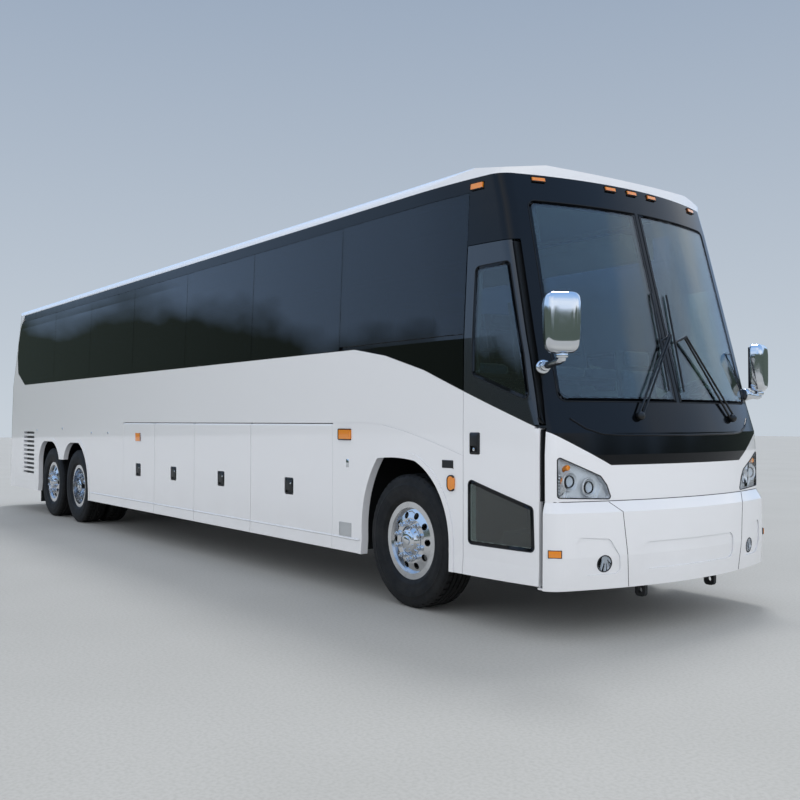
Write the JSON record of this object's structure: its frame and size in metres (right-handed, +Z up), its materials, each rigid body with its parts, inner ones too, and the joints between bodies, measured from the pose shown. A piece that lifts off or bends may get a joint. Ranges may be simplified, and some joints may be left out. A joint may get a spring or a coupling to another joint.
{
  "type": "three-axle coach bus",
  "caption": "Highway coach with a black-masked raked front, dark side glass, hinged entrance, luggage and engine doors, steered front wheels and twin rear axles.",
  "frame": {"origin": "middle of the footprint on the ground, under the middle of the overall length and width", "axes": "+X forwards, +Y to the driver's side, +Z up"},
  "size_m": [13.62, 2.9999, 3.4598],
  "materials": {
    "white_paint": "gloss white coach enamel",
    "black_gloss": "gloss black enamel",
    "side_glass": "dark tinted glass",
    "screen_glass": "pale green laminated glass",
    "lamp_glass": "clear moulded lens",
    "amber_lens": "moulded amber lens",
    "red_lens": "moulded red lens",
    "chrome": "bright chrome",
    "black_metal": "satin black",
    "chassis_paint": "satin black chassis paint",
    "step_plastic": "grained grey plastic",
    "engine_iron": "cast",
    "flap_rubber": "matte sheet rubber",
    "seat_cloth": "woven moquette",
    "tyre": "moulded rubber",
    "wheel_metal": "polished forged aluminium"
  },
  "bodies": {
    "coach": {"waist_panels": "white_paint", "quarter_panels": "white_paint", "front_panel": "white_paint", "bumper_centre": "white_paint", "bumper_corners": "white_paint", "rear_bumper": "white_paint", "rear_cap": "white_paint", "roof_cap": "white_paint", "front_mask": "black_gloss", "cab_side_panels": "black_gloss", "window_frames": "black_gloss", "side_glass": "side_glass", "driver_window": "side_glass", "rear_window": "side_glass", "windscreen": "screen_glass", "front_lamps": "lamp_glass", "marker_lamps": "amber_lens", "tail_lamps": "red_lens", "mirrors": "chrome", "wipers": "black_metal", "grille_backs": "black_metal", "luggage_bay": "chassis_paint", "deck": "chassis_paint", "deck_riser": "chassis_paint", "cab_floor": "chassis_paint", "wheel_housings": "chassis_paint", "chassis_rails": "chassis_paint", "front_axle": "chassis_paint", "rear_axles": "chassis_paint", "entrance_steps": "step_plastic", "dashboard": "step_plastic", "parcel_racks": "step_plastic", "engine": "engine_iron", "mud_flaps": "flap_rubber", "seats": "seat_cloth"},
    "entrance_door": {"door_panel": "black_gloss", "door_glass": "side_glass"},
    "bay_door_right_1": {"bay_door_right_1": "white_paint"},
    "bay_door_right_2": {"bay_door_right_2": "white_paint"},
    "bay_door_right_3": {"bay_door_right_3": "white_paint"},
    "bay_door_right_4": {"bay_door_right_4": "white_paint"},
    "bay_door_left_1": {"bay_door_left_1": "white_paint"},
    "bay_door_left_2": {"bay_door_left_2": "white_paint"},
    "bay_door_left_3": {"bay_door_left_3": "white_paint"},
    "bay_door_left_4": {"bay_door_left_4": "white_paint"},
    "engine_door": {"engine_door": "white_paint"},
    "steering_right": {"knuckle_right": "chassis_paint"},
    "steering_left": {"knuckle_left": "chassis_paint"},
    "front_wheel_right": {"tyre_front_right": "tyre", "wheel_front_right": "wheel_metal"},
    "front_wheel_left": {"tyre_front_left": "tyre", "wheel_front_left": "wheel_metal"},
    "drive_wheel_right": {"tyre_drive_right": "tyre", "wheel_drive_right": "wheel_metal"},
    "drive_wheel_left": {"tyre_drive_left": "tyre", "wheel_drive_left": "wheel_metal"},
    "tag_wheel_right": {"tyre_tag_right": "tyre", "wheel_tag_right": "wheel_metal"},
    "tag_wheel_left": {"tyre_tag_left": "tyre", "wheel_tag_left": "wheel_metal"}
  },
  "joints": [
    {"name": "entrance_door", "type": "hinge", "parent": "coach", "child": "entrance_door", "pos_m": [6.326, -1.2, 1.4], "axis": [0, 0, 1], "range_deg": [0, 85]},
    {"name": "bay_door_right_1", "type": "hinge", "parent": "coach", "child": "bay_door_right_1", "pos_m": [3.085, -1.2647, 1.441], "axis": [-1, 0, 0], "range_deg": [0, 90]},
    {"name": "bay_door_left_1", "type": "hinge", "parent": "coach", "child": "bay_door_left_1", "pos_m": [3.085, 1.2647, 1.441], "axis": [1, 0, 0], "range_deg": [0, 90]},
    {"name": "bay_door_right_2", "type": "hinge", "parent": "coach", "child": "bay_door_right_2", "pos_m": [1.6475, -1.2647, 1.441], "axis": [-1, 0, 0], "range_deg": [0, 90]},
    {"name": "bay_door_left_2", "type": "hinge", "parent": "coach", "child": "bay_door_left_2", "pos_m": [1.6475, 1.2647, 1.441], "axis": [1, 0, 0], "range_deg": [0, 90]},
    {"name": "bay_door_right_3", "type": "hinge", "parent": "coach", "child": "bay_door_right_3", "pos_m": [0.405, -1.2647, 1.441], "axis": [-1, 0, 0], "range_deg": [0, 90]},
    {"name": "bay_door_left_3", "type": "hinge", "parent": "coach", "child": "bay_door_left_3", "pos_m": [0.405, 1.2647, 1.441], "axis": [1, 0, 0], "range_deg": [0, 90]},
    {"name": "bay_door_right_4", "type": "hinge", "parent": "coach", "child": "bay_door_right_4", "pos_m": [-0.685, -1.2647, 1.441], "axis": [-1, 0, 0], "range_deg": [0, 90]},
    {"name": "bay_door_left_4", "type": "hinge", "parent": "coach", "child": "bay_door_left_4", "pos_m": [-0.685, 1.2647, 1.441], "axis": [1, 0, 0], "range_deg": [0, 90]},
    {"name": "engine_door", "type": "hinge", "parent": "coach", "child": "engine_door", "pos_m": [-6.70568, 0, 1.874], "axis": [0, 1, 0], "range_deg": [0, 80]},
    {"name": "steer_right", "type": "hinge", "parent": "coach", "child": "steering_right", "pos_m": [4.89, -0.925, 0.53], "axis": [0, 0, 1], "range_deg": [-45, 45]},
    {"name": "steer_left", "type": "hinge", "parent": "coach", "child": "steering_left", "pos_m": [4.89, 0.925, 0.53], "axis": [0, 0, 1], "range_deg": [-45, 45]},
    {"name": "front_wheel_right", "type": "hinge", "parent": "steering_right", "child": "front_wheel_right", "pos_m": [4.89, -1.095, 0.53], "axis": [0, 1, 0], "continuous": true},
    {"name": "front_wheel_left", "type": "hinge", "parent": "steering_left", "child": "front_wheel_left", "pos_m": [4.89, 1.095, 0.53], "axis": [0, 1, 0], "continuous": true},
    {"name": "drive_wheel_right", "type": "hinge", "parent": "coach", "child": "drive_wheel_right", "pos_m": [-3.16, -1.095, 0.53], "axis": [0, 1, 0], "continuous": true},
    {"name": "drive_wheel_left", "type": "hinge", "parent": "coach", "child": "drive_wheel_left", "pos_m": [-3.16, 1.095, 0.53], "axis": [0, 1, 0], "continuous": true},
    {"name": "tag_wheel_right", "type": "hinge", "parent": "coach", "child": "tag_wheel_right", "pos_m": [-4.365, -1.095, 0.53], "axis": [0, 1, 0], "continuous": true},
    {"name": "tag_wheel_left", "type": "hinge", "parent": "coach", "child": "tag_wheel_left", "pos_m": [-4.365, 1.095, 0.53], "axis": [0, 1, 0], "continuous": true}
  ],
  "couplings": [
    {"joint": "steer_left", "follows": "steer_right", "ratio": 1}
  ]
}
